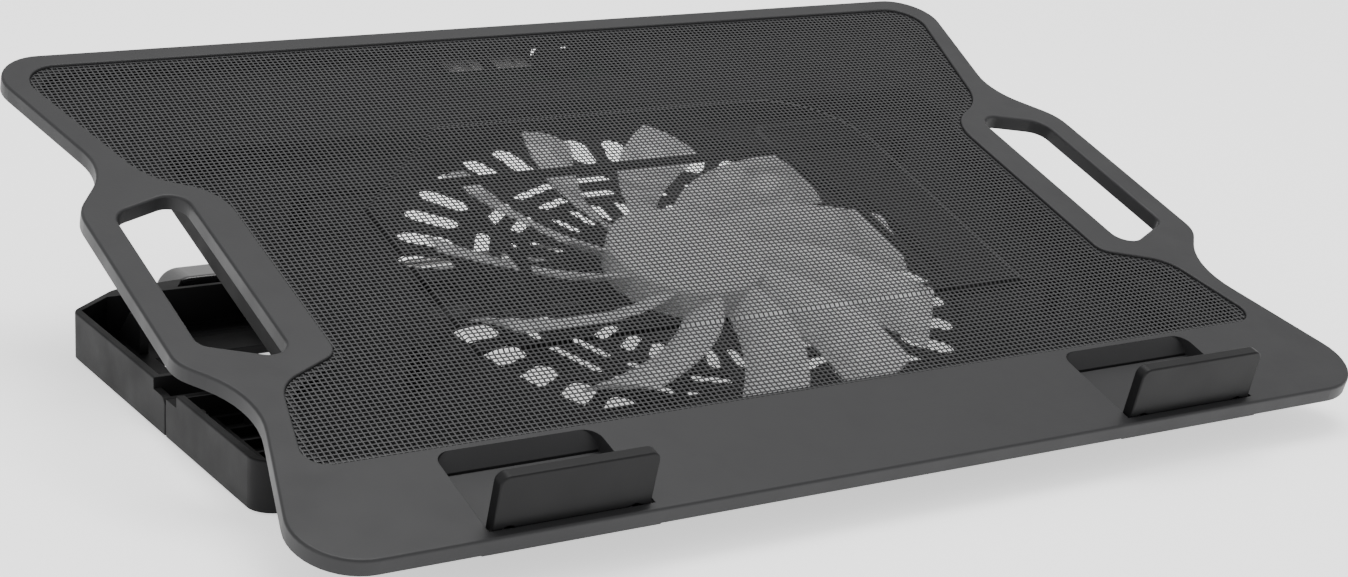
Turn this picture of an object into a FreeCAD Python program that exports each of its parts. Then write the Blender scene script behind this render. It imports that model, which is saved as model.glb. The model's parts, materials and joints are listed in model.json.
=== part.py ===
import FreeCAD, Part

import math
import os
import re

import Sketcher

# Driving dimensions, in millimetres and degrees.
# Tray sizes are measured in the tray's own plane: X across, Y back from its front edge, Z up from its top face.
# Base sizes use X across, Y back from the tray's front edge, and Z up from the table.
SIZES = {
    # how the tray stands over the base
    "tray_tilt": 16.69,
    "edge_height": 16.3,
    "row_centre": 131.0,
    "hinge_y": 75.0,
    "hinge_drop": 21.4,
    # tray outline, right half
    "front_corner_x": 191.6,
    "waist_x": 171.2,
    "waist_y": 74.4,
    "grip_x": 188.0,
    "grip_front_y": 94.1,
    "grip_rear_y": 175.4,
    "neck_x": 172.3,
    "neck_y": 197.6,
    "rear_corner_x": 190.0,
    "tray_depth": 270.4,
    "skirt_depth": 5.0,
    "plate_thick": 2.2,
    "edge_round": 0.9,
    "window_round": 0.5,
    # handle hole
    "hole_inner_x": 153.5,
    "hole_outer_x": 178.3,
    "hole_front_y": 89.1,
    "hole_front_outer_y": 101.3,
    "hole_rear_outer_y": 172.1,
    "hole_rear_y": 181.8,
    # mesh window, right half
    "window_front_x": 171.7,
    "window_front_y": 40.7,
    "window_waist_x": 162.8,
    "window_waist_y": 78.6,
    "window_side_x": 141.3,
    "window_side_front_y": 89.4,
    "window_side_rear_y": 178.7,
    "window_neck_x": 161.0,
    "window_neck_y": 190.2,
    "window_rear_x": 181.0,
    "window_rear_y": 263.0,
    "mesh_recess": 1.2,
    "mesh_thick": 0.8,
    "mesh_gap": 0.25,
    "ledge_width": 2.5,
    # flaps and their pockets
    "pocket_inner_x": 84.5,
    "pocket_outer_x": 135.5,
    "pocket_front_y": 3.1,
    "pocket_rear_y": 38.5,
    "pocket_deep": 4.8,
    "pocket_wall": 1.5,
    "pocket_side_wall": 2.0,
    "pocket_slope_run": 4.2,
    "pocket_toe": 0.3,
    "pocket_corner": 5.0,
    "flap_pin_y": 5.3,
    "flap_pin_drop": 2.35,
    "flap_pin_radius": 1.0,
    "flap_lean": 88.0,
    "flap_width": 48.8,
    "flap_thick": 4.0,
    "flap_reach": 18.9,
    "flap_corner": 3.0,
    "flap_heel_round": 1.9,
    "flap_edge_round": 0.6,
    "flap_hole_radius": 2.7,
    "flap_hole_x": 5.0,
    "flap_hole_y": 0.2,
    "flap_hole_deep": 1.6,
    "groove_width": 0.8,
    "groove_deep": 0.7,
    "pin_seat": 1.4,
    # shared small sizes
    "merge": 0.5,
    "running_gap": 0.05,
    "fit_gap": 0.02,
    # ribs under the mesh
    "rib_thick": 1.6,
    "rib_tall": 2.6,
    "rib_edge_x": 116.0,
    "rib_left_x": -64.0,
    "rib_right_x": 70.0,
    "rib_rear_y": 174.0,
    "rib_bend_y": 120.0,
    "rib_front_y": 79.0,
    "rib_foot_y": 86.0,
    "rib_foot_size": 4.0,
    # bottom housing
    "shell": 1.8,
    "pan_front_x": 174.8,
    "pan_front_y": 40.3,
    "pan_waist_x": 165.8,
    "pan_waist_y": 80.3,
    "pan_side_x": 150.0,
    "pan_side_front_y": 88.2,
    "pan_side_rear_y": 183.2,
    "pan_neck_x": 164.0,
    "pan_neck_y": 190.5,
    "pan_rear_x": 184.5,
    "pan_rear_y": 266.5,
    "pan_drop": 7.2,
    "belly_front_y": 46.0,
    "belly_rear_y": 214.0,
    "belly_drop": 15.5,
    "fan_y": 129.0,
    "duct_radius": 94.5,
    "duct_drop": 20.5,
    "duct_floor": 1.6,
    "screw_front_y": 37.5,
    "screw_front_inner_x": 45.0,
    "screw_front_outer_x": 148.0,
    "screw_rear_y": 263.9,
    "screw_rear_inner_x": 60.0,
    "screw_rear_outer_x": 150.0,
    "screw_radius": 1.1,
    "screw_head_radius": 2.3,
    "screw_head_tall": 1.4,
    "screw_head_round": 0.5,
    "screw_cross": 2.6,
    "screw_cross_width": 0.6,
    "screw_skin": 0.9,
    "screw_play": 0.1,
    "screw_boss_radius": 4.0,
    "screw_post_radius": 2.5,
    "join_screw_long": 6.5,
    "join_screw_height": 6.5,
    # vents under the fan
    "outer_vent_start": 74.0,
    "outer_vent_end": 92.5,
    "outer_vent_width": 9.0,
    "outer_vent_count": 38,
    "wide_arc_radius": 65.0,
    "wide_arc_half_long": 10.0,
    "narrow_arc_radius": 56.0,
    "narrow_arc_half_long": 7.2,
    "arc_vent_width": 4.8,
    "arc_vent_count": 18,
    "arc_vent_angle": 10.5,
    "inner_vent_start": 38.5,
    "inner_vent_end": 50.5,
    "inner_vent_width": 4.8,
    "inner_vent_count": 32,
    "inner_vent_angle": 6.5,
    # fan and motor
    "blade_count": 11,
    "blade_start": -2.4,
    "tip_radius": 82.5,
    "hub_radius": 26.2,
    "hub_drop": 7.1,
    "hub_low": 17.2,
    "blade_mid_drop": 12.6,
    "blade_sweep": 28.0,
    "blade_thick": 1.5,
    "blade_root_chord": 13.5,
    "blade_chord_gain": 10.2,
    "blade_root_pitch": 38.0,
    "blade_tip_pitch": 21.5,
    "hub_crown": 1.8,
    "hub_round": 1.6,
    "hub_bore_radius": 22.8,
    "yoke_radius": 22.7,
    "yoke_thick": 1.5,
    "magnet_thick": 1.8,
    "magnet_tall": 6.0,
    "magnet_drop": 17.0,
    "stator_radius": 18.9,
    "stator_core_radius": 8.4,
    "stator_drop": 16.4,
    "stator_tall": 4.0,
    "tooth_count": 9,
    "tooth_half_width": 1.1,
    "shoe_half_width": 5.0,
    "coil_start": 9.0,
    "coil_long": 7.2,
    "coil_width": 4.4,
    "coil_tall": 5.8,
    "coil_wire": 0.8,
    "motor_board_drop": 18.8,
    "motor_board_thick": 1.0,
    "motor_board_radius": 17.0,
    "shaft_radius": 1.5,
    "shaft_long": 9.6,
    "shaft_drop": 18.5,
    "sleeve_radius": 3.0,
    "sleeve_long": 7.2,
    "sleeve_lift": 0.2,
    "boss_radius": 4.6,
    "boss_tall": 8.0,
    # step rails and hinge lugs
    "rail_inner_x": 89.5,
    "rail_outer_x": 99.5,
    "rail_front_y": 166.0,
    "rail_rear_y": 206.0,
    "rail_drop": 20.6,
    "step_count": 4,
    "step_lead": 3.0,
    "step_pitch": 9.0,
    "step_long": 7.0,
    "step_deep": 1.3,
    "tray_lug_x": 128.0,
    "tray_lug_width": 6.0,
    "lug_reach": 4.0,
    "lug_flare": 2.0,
    "lug_round": 3.6,
    "hinge_pin_radius": 2.0,
    # electronics bay
    "bay_left_x": -34.0,
    "bay_right_x": 42.0,
    "bay_front_y": 236.0,
    "bay_drop": 16.0,
    "board_thick": 1.6,
    "port_width": 13.2,
    "port_height": 5.8,
    "port_long": 15.0,
    "port_left_x": -20.5,
    "port_right_x": -1.5,
    "port_wall": 0.5,
    "port_play": 0.2,
    "port_back": 2.0,
    "port_inset": 0.3,
    "tongue_side": 1.5,
    "tongue_thick": 1.6,
    "control_size": 9.0,
    "control_gap": 0.4,
    "wheel_x": 20.0,
    "wheel_y": 259.0,
    "wheel_radius": 8.5,
    "wheel_thick": 2.4,
    "wheel_drop": 8.2,
    "wheel_slot": 7.6,
    "wheel_play": 0.5,
    "wheel_stub": 1.6,
    "wheel_notch_count": 36,
    "wheel_notch_width": 0.7,
    # fan lead
    "lead_radius": 1.0,
    "lead_bend": 5.0,
    "lead_start_x": 74.0,
    "lead_start_y": 194.0,
    "lead_turn_y": 206.0,
    "lead_end_x": 112.0,
    # base
    "base_lift": 0.8,
    "base_height": 15.5,
    "base_wall": 2.5,
    "base_front_round": 8.0,
    "base_shoulder_round": 7.0,
    "base_corner_round": 9.0,
    "hollow_rear_x": 155.1,
    "slot_slant": 5.0,
    "cross_wall_dip": 6.0,
    "base_half_width": 170.0,
    "base_front_y": 74.0,
    "seam_y": 144.7,
    "seam_gap": 0.1,
    "seam_round": 0.8,
    "seam_wall": 2.0,
    "cell_floor": 5.0,
    "cell_gap": 1.4,
    "side_cell_long": 9.4,
    "side_cell_wide": 9.0,
    "side_cell_start": 2.0,
    "front_cell_wide": 20.0,
    "front_cell_pitch": 22.0,
    "base_shoulder_y": 226.5,
    "base_corner_x": 150.5,
    "base_corner_y": 243.6,
    "base_back_x": 132.3,
    "base_back_y": 246.0,
    "base_floor": 2.0,
    "front_window_x": 134.0,
    "front_window_y": 98.0,
    "rear_window_x": 150.0,
    "crossbar_front_y": 205.4,
    "crossbar_rear_y": 220.7,
    "strip_y": 224.6,
    "cross_wall_y": 236.0,
    "crossbar_height": 3.0,
    "rim_notch_front_y": 135.5,
    "rim_notch_rear_y": 154.2,
    "rim_notch_deep": 3.6,
    "rim_notch_front_round": 1.4,
    "rim_notch_rear_round": 3.4,
    "rim_round": 0.6,
    "base_lug_inner_x": 121.5,
    "base_lug_outer_x": 134.5,
    "bar_half_width": 131.0,
    "bar_rear_y": 262.0,
    "bar_dip_x": 58.0,
    "bar_dip_height": 3.6,
    "bar_dip_run": 8.0,
    "bar_end_run": 3.0,
    "bar_end_round": 8.0,
    "bar_rear_round": 3.0,
    "bar_front_round": 2.5,
    "bar_wall": 2.0,
    "bar_roof": 3.0,
    "gusset_x": 150.2,
    "gusset_thick": 3.0,
    "gusset_front_y": 211.0,
    "gusset_top_y": 219.5,
    "gusset_rear_y": 232.5,
    "gusset_height": 14.8,
    # prop arms
    "prop_y": 222.0,
    "prop_height": 6.8,
    "prop_angle": 43.4,
    "prop_long": 56.0,
    "prop_inner_x": 86.5,
    "prop_outer_x": 102.5,
    "prop_thick": 5.0,
    "prop_heel": 2.7,
    "prop_round": 2.4,
    "prop_border": 3.5,
    "prop_web": 1.6,
    "prop_brace_y": 30.0,
    "prop_brace_radius": 1.5,
    "prop_brace_seat": 6.0,
    "prop_rib": 4.0,
    "bearing_gap": 0.5,
    "bearing_width": 5.0,
    "bearing_reach": 5.0,
    "bearing_rise": 4.0,
    "foot_radius": 6.0,
    "foot_round": 0.3,
    "foot_x": 159.0,
    "foot_front_y": 86.0,
    "foot_rear_y": 212.0,
}

HINGE_BASE_Y = "(hinge_y * cos(tray_tilt * 1deg) + hinge_drop * sin(tray_tilt * 1deg))"
HINGE_BASE_Z = "(edge_height + hinge_y * sin(tray_tilt * 1deg) - hinge_drop * cos(tray_tilt * 1deg))"

document = FreeCAD.newDocument("laptop_cooling_pad")
sheet = document.addObject("Spreadsheet::Sheet", "Sizes")
for row, (alias, number) in enumerate(SIZES.items(), 1):
    sheet.set(f"A{row}", alias)
    sheet.set(f"B{row}", str(number))
    sheet.setAlias(f"B{row}", alias)
document.recompute()

nodes = []

# Places nearer than this count as the same.
CLOSE = 1e-3


# ---- helpers -------------------------------------------------------------------------------------------------


def bound(expression):
    """Point each size named in an expression at its cell in the sheet."""
    return re.sub(r"[a-z_]+", lambda word: f"Sizes.{word[0]}" if word[0] in SIZES else word[0], expression)


def value(expression):
    """Work an expression out with the sheet's present numbers."""
    result = sheet.evalExpression(bound(expression))
    return float(getattr(result, "Value", result))


def vector(x=0.0, y=0.0, z=0.0):
    return FreeCAD.Vector(x, y, z)


def turned(angle, axis=(1, 0, 0)):
    """A placement that turns about an axis through the origin."""
    return FreeCAD.Placement(vector(), FreeCAD.Rotation(vector(*axis), angle))


def moved(x=0.0, y=0.0, z=0.0):
    return FreeCAD.Placement(vector(x, y, z), FreeCAD.Rotation())


ON_BASE = moved(0, -value("row_centre"), 0)
ON_TRAY = moved(0, -value("row_centre"), value("edge_height")) * turned(value("tray_tilt"))


def keep(item, placement):
    """Register a finished sub-part and put it in the row frame."""
    item.Label = item.Name
    item.Placement = placement
    nodes.append(item)
    return item


def sketch_on(body, plane="XY_Plane", offset="0", origin_y="0"):
    """A sketch attached to one of the body's origin planes, moved along its normal."""
    sketch = body.newObject("Sketcher::SketchObject", "sketch")
    support = next(item for item in body.Origin.OriginFeatures if item.Role == plane)
    sketch.AttachmentSupport = (support, "")
    sketch.MapMode = "FlatFace"
    sketch.setExpression("AttachmentOffset.Base.y", bound(origin_y))
    sketch.setExpression("AttachmentOffset.Base.z", bound(offset))
    return sketch


def dimension(sketch, kind, geometry, point, expression):
    """Tie one coordinate of a point to the sheet."""
    number = sketch.addConstraint(Sketcher.Constraint(kind, -1, 1, geometry, point, value(expression)))
    sketch.setExpression(f"Constraints[{number}]", bound(expression))


def polygon(sketch, corners):
    """A closed outline through corners, each a pair of expressions."""
    points = [vector(value(x), value(y)) for x, y in corners]
    first = sketch.GeometryCount
    for start, end in zip(points, points[1:] + points[:1]):
        sketch.addGeometry(Part.LineSegment(start, end))
    for index, (x, y) in enumerate(corners):
        following = first + (index + 1) % len(corners)
        sketch.addConstraint(Sketcher.Constraint("Coincident", first + index, 2, following, 1))
        dimension(sketch, "DistanceX", first + index, 1, x)
        dimension(sketch, "DistanceY", first + index, 1, y)


def corner_arc(before, corner, after, radius):
    """The arc that rounds a corner, with the points where it meets the two sides."""
    back = (before - corner).normalize()
    ahead = (after - corner).normalize()
    half_angle = back.getAngle(ahead) / 2
    start = corner + back * (radius / math.tan(half_angle))
    end = corner + ahead * (radius / math.tan(half_angle))
    bisector = (back + ahead).normalize()
    centre = corner + bisector * (radius / math.sin(half_angle))
    middle = centre - bisector * radius
    return start, middle, end


def rounded_polygon(sketch, corners, radii):
    """A closed outline whose corners are rounded, each by a radius of its own."""
    points = [vector(value(x), value(y)) for x, y in corners]
    count = len(points)
    arcs = [
        corner_arc(points[index - 1], points[index], points[(index + 1) % count], radii[index])
        for index in range(count)
    ]
    first = sketch.GeometryCount
    for start, middle, end in arcs:
        sketch.addGeometry(Part.ArcOfCircle(start, middle, end))
    for index in range(count):
        sketch.addGeometry(Part.LineSegment(arcs[index][2], arcs[(index + 1) % count][0]))
    for index, (x, y) in enumerate(corners):
        arc = first + index
        leaving = first + count + index
        arriving = first + count + (index - 1) % count
        start, middle, end = arcs[index]
        runs_forward = (middle - start).cross(end - middle).z > 0
        start_point, end_point = (1, 2) if runs_forward else (2, 1)
        sketch.addConstraint(Sketcher.Constraint("Tangent", arriving, 2, arc, start_point))
        sketch.addConstraint(Sketcher.Constraint("Tangent", arc, end_point, leaving, 1))
        sketch.addConstraint(Sketcher.Constraint("Radius", arc, radii[index]))
        point = sketch.addGeometry(Part.Point(points[index]), True)
        dimension(sketch, "DistanceX", point, 1, x)
        dimension(sketch, "DistanceY", point, 1, y)
        sketch.addConstraint(Sketcher.Constraint("PointOnObject", point, 1, arriving))
        sketch.addConstraint(Sketcher.Constraint("PointOnObject", point, 1, leaving))


def rectangle(sketch, x_low, x_high, y_low, y_high):
    polygon(sketch, [(x_low, y_low), (x_high, y_low), (x_high, y_high), (x_low, y_high)])


def circle(sketch, x, y, radius):
    centre = vector(value(x), value(y))
    geometry = sketch.addGeometry(Part.Circle(centre, vector(0, 0, 1), value(radius)))
    dimension(sketch, "DistanceX", geometry, 3, x)
    dimension(sketch, "DistanceY", geometry, 3, y)
    number = sketch.addConstraint(Sketcher.Constraint("Radius", geometry, value(radius)))
    sketch.setExpression(f"Constraints[{number}]", bound(radius))


def round_slot(sketch, start, end, width, out="0"):
    """A slot with round ends along the sketch's X axis, or beside it at a distance."""
    radius = value(width) / 2
    near = vector(value(start) + radius, value(out))
    far = vector(value(end) - radius, value(out))
    up = vector(0, radius)
    near_arc = Part.ArcOfCircle(Part.Circle(near, vector(0, 0, 1), radius), math.pi / 2, 3 * math.pi / 2)
    far_arc = Part.ArcOfCircle(Part.Circle(far, vector(0, 0, 1), radius), -math.pi / 2, math.pi / 2)
    first = sketch.addGeometry(near_arc)
    sketch.addGeometry(Part.LineSegment(near - up, far - up))
    sketch.addGeometry(far_arc)
    sketch.addGeometry(Part.LineSegment(far + up, near + up))
    joins = [(0, 2, 1, 1), (1, 2, 2, 1), (2, 2, 3, 1), (3, 2, 0, 1)]
    for one, one_end, other, other_end in joins:
        sketch.addConstraint(
            Sketcher.Constraint("Tangent", first + one, one_end, first + other, other_end)
        )
    dimension(sketch, "DistanceX", first, 3, f"{start} + {width} / 2")
    dimension(sketch, "DistanceY", first, 3, out)
    dimension(sketch, "DistanceX", first + 2, 3, f"{end} - {width} / 2")
    number = sketch.addConstraint(Sketcher.Constraint("Radius", first, radius))
    sketch.setExpression(f"Constraints[{number}]", bound(f"{width} / 2"))


def mirrored(corners):
    """The same corners on the left side."""
    return [(f"-({x})", y) for x, y in reversed(corners)]


def whole(half):
    """A symmetric outline from its right half."""
    return half + mirrored(half)


def whole_outline(sketch, half, radii):
    """A symmetric outline with rounded corners, from its right half."""
    rounded_polygon(sketch, whole(half), radii + radii[::-1])


def both_sides(sketch, x_low, x_high, y_low, y_high):
    """A rectangle on the right and its mirror on the left."""
    rectangle(sketch, x_low, x_high, y_low, y_high)
    rectangle(sketch, f"-({x_high})", f"-({x_low})", y_low, y_high)


def new_body(name):
    return document.addObject("PartDesign::Body", name)


def pad(body, sketch, length):
    """Add material from the sketch along its normal."""
    feature = body.newObject("PartDesign::Pad", "pad")
    feature.Profile = sketch
    feature.setExpression("Length", bound(length))
    document.recompute()
    return feature


def pocket(body, sketch, length, along_normal=False):
    """Cut from the sketch against its normal, and make sure that something was cut."""
    before = body.Shape.Volume
    feature = body.newObject("PartDesign::Pocket", "pocket")
    feature.Profile = sketch
    feature.Reversed = along_normal
    feature.setExpression("Length", bound(length))
    document.recompute()
    if body.Shape.Volume > before - 1e-3:
        raise RuntimeError(f"a pocket in {body.Name} cuts nothing")
    return feature


def ring_of(body, feature, sketch, count):
    """Repeat a feature round the sketch's normal."""
    pattern = body.newObject("PartDesign::PolarPattern", "pattern")
    pattern.Originals = [feature]
    pattern.Axis = (sketch, ["N_Axis"])
    pattern.Angle = 360
    pattern.setExpression("Occurrences", bound(count))
    body.Tip = pattern
    document.recompute()
    return pattern


def fillet(body, radius, test):
    """Round the edges of the body that pass a test."""
    base = body.Tip
    names = [f"Edge{number}" for number, edge in enumerate(base.Shape.Edges, 1) if test(edge)]
    if not names:
        raise RuntimeError(f"{body.Name} has no edge to round")
    feature = body.newObject("PartDesign::Fillet", "fillet")
    feature.Base = (base, names)
    feature.setExpression("Radius", bound(radius))
    document.recompute()
    if "Invalid" in feature.State or feature.Shape.isNull():
        raise RuntimeError(f"a round of {radius} in {body.Name} failed")
    return feature


def is_upright(edge):
    low, high = edge.Vertexes[0].Point, edge.Vertexes[-1].Point
    return math.hypot(low.x - high.x, low.y - high.y) < 1e-4 and abs(low.z - high.z) > 1e-3


def round_uprights(body, radius, corners, z_low=-1e3, z_high=1e3):
    """Round the upright edges at these corners, on both sides."""
    places = [(value(x), value(y)) for x, y in corners]

    def chosen(edge):
        if not is_upright(edge):
            return False
        foot = edge.Vertexes[0].Point
        middle = edge.BoundBox.Center.z
        return z_low < middle < z_high and any(
            abs(abs(foot.x) - x) < 0.2 and abs(foot.y - y) < 0.2 for x, y in places
        )

    fillet(body, radius, chosen)


def lies_at(z):
    """A test for edges that lie wholly at one height."""
    return lambda edge: abs(edge.BoundBox.ZMin - z) < CLOSE and abs(edge.BoundBox.ZMax - z) < CLOSE


def bore(name, radius, height, placement):
    """A plain cylinder whose radius and height come from the sheet."""
    cylinder = document.addObject("Part::Cylinder", name)
    cylinder.setExpression("Radius", bound(radius))
    cylinder.setExpression("Height", bound(height))
    cylinder.Placement = placement
    return cylinder


def block(name, length, width, height, placement):
    """A plain box whose sizes come from the sheet."""
    box = document.addObject("Part::Box", name)
    box.setExpression("Length", bound(length))
    box.setExpression("Width", bound(width))
    box.setExpression("Height", bound(height))
    box.Placement = placement
    return box


def cut(name, base, tool):
    item = document.addObject("Part::Cut", name)
    item.Base = base
    item.Tool = tool
    return item


def fuse(name, shapes):
    item = document.addObject("Part::MultiFuse", name)
    item.Shapes = shapes
    return item


def tube(name, outer, inner, height, base):
    """A ring of rectangular section standing on base, its axis upright."""
    return cut(name, bore(f"{name}_outside", outer, height, base), bore(f"{name}_inside", inner, height, base))


ALONG_X = turned(90, (0, 1, 0))


# ---- tray ----------------------------------------------------------------------------------------------------

OUTLINE = [
    ("front_corner_x", "0"),
    ("waist_x", "waist_y"),
    ("grip_x", "grip_front_y"),
    ("grip_x", "grip_rear_y"),
    ("neck_x", "neck_y"),
    ("rear_corner_x", "tray_depth"),
]
OUTLINE_ROUNDS = [18, 30, 12, 18, 26, 16]

HANDLE_HOLE = [
    ("hole_inner_x", "hole_front_y"),
    ("hole_outer_x", "hole_front_outer_y"),
    ("hole_outer_x", "hole_rear_outer_y"),
    ("hole_inner_x", "hole_rear_y"),
]
HANDLE_HOLE_ROUNDS = [6, 5, 7.5, 6]

WINDOW_ROUNDS = [7, 14, 7, 20, 24, 11.5]

SCREW_PLACES = [
    ("screw_front_inner_x", "screw_front_y"),
    ("screw_front_outer_x", "screw_front_y"),
    ("screw_rear_inner_x", "screw_rear_y"),
    ("screw_rear_outer_x", "screw_rear_y"),
]


# Each corner of the mesh window's right half, and how far it moves in X and Y for each millimetre of inset.
WINDOW = [
    ("window_front_x", "window_front_y", -1.26, 1.0),
    ("window_waist_x", "window_waist_y", -0.87, -0.68),
    ("window_side_x", "window_side_front_y", -1.0, -0.62),
    ("window_side_x", "window_side_rear_y", -1.0, 0.57),
    ("window_neck_x", "window_neck_y", -0.86, 0.66),
    ("window_rear_x", "window_rear_y", -1.31, -1.0),
]


def inset_corners(corners, inset):
    """The corners of an outline, drawn inwards by an inset."""
    return [
        (f"{x} + ({across}) * ({inset})", f"{y} + ({along}) * ({inset})")
        for x, y, across, along in corners
    ]


def window(inset):
    """The right half of the mesh window, drawn inwards by an inset."""
    return inset_corners(WINDOW, inset)


def pocket_slope(sketch):
    """Side view of the sloping rear wall of a flap pocket."""
    low = "-pocket_deep - running_gap"
    foot = "pocket_rear_y - pocket_slope_run"
    behind = "pocket_rear_y + merge"
    polygon(
        sketch,
        [
            ("pocket_rear_y", "-running_gap"),
            (foot, "-pocket_deep + pocket_toe"),
            (foot, low),
            (behind, low),
            (behind, "-running_gap"),
        ],
    )


def make_top_frame():
    """The moulded frame: border, front bar, side handles and the two flap pockets."""
    body = new_body("top_frame")
    sketch = sketch_on(body, offset="-skirt_depth")
    whole_outline(sketch, OUTLINE, OUTLINE_ROUNDS)
    pad(body, sketch, "skirt_depth")

    sketch = sketch_on(body)
    rounded_polygon(sketch, HANDLE_HOLE, HANDLE_HOLE_ROUNDS)
    rounded_polygon(sketch, mirrored(HANDLE_HOLE), HANDLE_HOLE_ROUNDS[::-1])
    pocket(body, sketch, "skirt_depth")

    top = body.Tip
    floor = -value("skirt_depth")
    under = [f"Face{n}" for n, face in enumerate(top.Shape.Faces, 1) if face.BoundBox.ZMax < floor + 1e-3]
    shell = body.newObject("PartDesign::Thickness", "shell")
    shell.Base = (top, under)
    shell.Reversed = True
    shell.setExpression("Value", bound("plate_thick"))
    document.recompute()

    sketch = sketch_on(body)
    whole_outline(sketch, window("ledge_width"), WINDOW_ROUNDS)
    pocket(body, sketch, "plate_thick")
    sketch = sketch_on(body)
    whole_outline(sketch, window("0"), WINDOW_ROUNDS)
    pocket(body, sketch, "mesh_recess")

    sketch = sketch_on(body, offset="-(pocket_deep + pocket_wall)")
    both_sides(
        sketch,
        "pocket_inner_x - pocket_side_wall",
        "pocket_outer_x + pocket_side_wall",
        "plate_thick / 2",
        "pocket_rear_y + pocket_wall",
    )
    pad(body, sketch, "pocket_deep + pocket_wall - plate_thick + merge")
    sketch = sketch_on(body)
    both_sides(sketch, "pocket_inner_x", "pocket_outer_x", "pocket_front_y", "pocket_rear_y")
    pocket(body, sketch, "pocket_deep")
    rear_corners = [("pocket_inner_x", "pocket_rear_y"), ("pocket_outer_x", "pocket_rear_y")]
    round_uprights(body, "pocket_corner", rear_corners)
    width = "pocket_outer_x - pocket_inner_x + 2 * merge"
    add_on_sides(body, "pocket_inner_x - merge", width, pocket_slope)
    sketch = sketch_on(body, offset="-pocket_deep")
    groove = "pocket_rear_y - pocket_slope_run"
    both_sides(sketch, "pocket_inner_x", "pocket_outer_x", f"{groove} - groove_width", groove)
    pocket(body, sketch, "groove_deep")

    bore_across(
        body,
        "pocket_inner_x - pin_seat - fit_gap",
        "pocket_outer_x + pin_seat + fit_gap",
        "flap_pin_y",
        "-flap_pin_drop",
        "flap_pin_radius + running_gap",
    )

    sketch = sketch_on(body, offset="-plate_thick")
    for x, y in SCREW_PLACES:
        circle(sketch, x, y, "screw_radius")
        circle(sketch, f"-{x}", y, "screw_radius")
    pocket(body, sketch, "plate_thick - screw_skin", along_normal=True)

    tall = value("tray_depth")
    fillet(body, "edge_round", lambda edge: lies_at(0)(edge) and outside_of_window(edge, tall))
    window_front = value("window_front_y")
    fillet(
        body,
        "window_round",
        lambda edge: lies_at(0)(edge)
        and not outside_of_window(edge, tall)
        and edge.BoundBox.YMin > window_front - 0.1,
    )
    return keep(body, ON_TRAY)


def outside_of_window(edge, tall):
    """True for the top edges of the outer outline and of the two handle holes."""
    box = edge.BoundBox
    on_outline = box.YMin < 0.1 or box.YMax > tall - 0.1 or max(abs(box.XMin), abs(box.XMax)) > 170.5
    in_hole = min(abs(box.XMin), abs(box.XMax)) > value("hole_inner_x") - 0.1 and 80 < box.Center.y < 190
    in_window = box.YMin > 35 and box.YMax < 264 and max(abs(box.XMin), abs(box.XMax)) < 178
    return (on_outline and not in_window) or in_hole or edge_on_side(box)


def edge_on_side(box):
    """True for the handles' outer side and the curves that lead to it."""
    return max(abs(box.XMin), abs(box.XMax)) > 178.4


def make_mesh_panel():
    """The sheet-metal mesh, as its plain blank: the outline and thickness without its small holes."""
    body = new_body("mesh_panel")
    sketch = sketch_on(body, offset="-mesh_recess")
    whole_outline(sketch, window("mesh_gap"), WINDOW_ROUNDS)
    pad(body, sketch, "mesh_thick")
    return keep(body, ON_TRAY)


def make_mesh_support():
    """Thin ribs under the mesh that bridge the fan, with feet on the housing's floor."""
    edge_x = value("rib_edge_x")
    left_x = value("rib_left_x")
    right_x = value("rib_right_x")
    rear_y = value("rib_rear_y")
    front_y = value("rib_front_y")
    foot_y = value("rib_foot_y")
    low = -value("mesh_recess + running_gap + rib_tall")
    run = "(rib_edge_x + rib_left_x)"
    rise = "(rib_bend_y - rib_foot_y)"
    slope = math.degrees(math.atan2(value(rise), value(run)))
    slanted = f"sqrt({run}^2 + {rise}^2) + rib_thick"
    pieces = [
        ("rear_rib", "2 * rib_edge_x", "rib_thick", moved(-edge_x, rear_y, low)),
        ("left_rib", "rib_thick", "rib_rear_y - rib_bend_y + rib_thick", moved(left_x, value("rib_bend_y"), low)),
        ("right_rib", "rib_thick", "rib_rear_y - rib_front_y + rib_thick", moved(right_x, front_y, low)),
        ("front_rib", "rib_edge_x - rib_right_x", "rib_thick", moved(right_x, front_y, low)),
        ("slanted_rib", slanted, "rib_thick", moved(-edge_x, foot_y, low) * turned(slope, (0, 0, 1))),
    ]
    shapes = [block(name, long, wide, "rib_tall", place) for name, long, wide, place in pieces]
    leg = "belly_drop - shell - mesh_recess - running_gap"
    floor = -value("belly_drop - shell")
    inner_x = edge_x - value("rib_foot_size / 2")
    outer_x = edge_x + value("rib_foot_size / 2")
    overlap = value("rib_foot_size / 4")
    feet = [(-outer_x, rear_y), (inner_x, rear_y), (inner_x, front_y), (-outer_x, foot_y)]
    for number, (x, y) in enumerate(feet):
        place = moved(x, y - overlap, floor)
        shapes.append(block(f"support_foot_{number}", "rib_foot_size", "rib_foot_size", leg, place))
    return keep(fuse("mesh_support", shapes), ON_TRAY)


# ---- bottom housing ------------------------------------------------------------------------------------------

PAN_ROUNDS = [7, 10, 4, 4, 12, 12]
PAN_INNER_ROUNDS = [5, 12, 5, 3, 10, 10]
BELLY_ROUNDS = [9, 9]
BELLY_INNER_ROUNDS = [7.2, 7.2]


# Corners of the housing's rim and of its deeper part, right halves, in the same form as WINDOW.
PAN = [
    ("pan_front_x", "pan_front_y", -1.26, 1.0),
    ("pan_waist_x", "pan_waist_y", -0.87, -0.68),
    ("pan_side_x", "pan_side_front_y", -1.0, -0.62),
    ("pan_side_x", "pan_side_rear_y", -1.0, 0.57),
    ("pan_neck_x", "pan_neck_y", -0.87, 0.62),
    ("pan_rear_x", "pan_rear_y", -1.31, -1.0),
]
BELLY = [
    ("pan_side_x", "belly_front_y", -1.0, 1.0),
    ("pan_side_x", "belly_rear_y", -1.0, -1.0),
]


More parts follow.
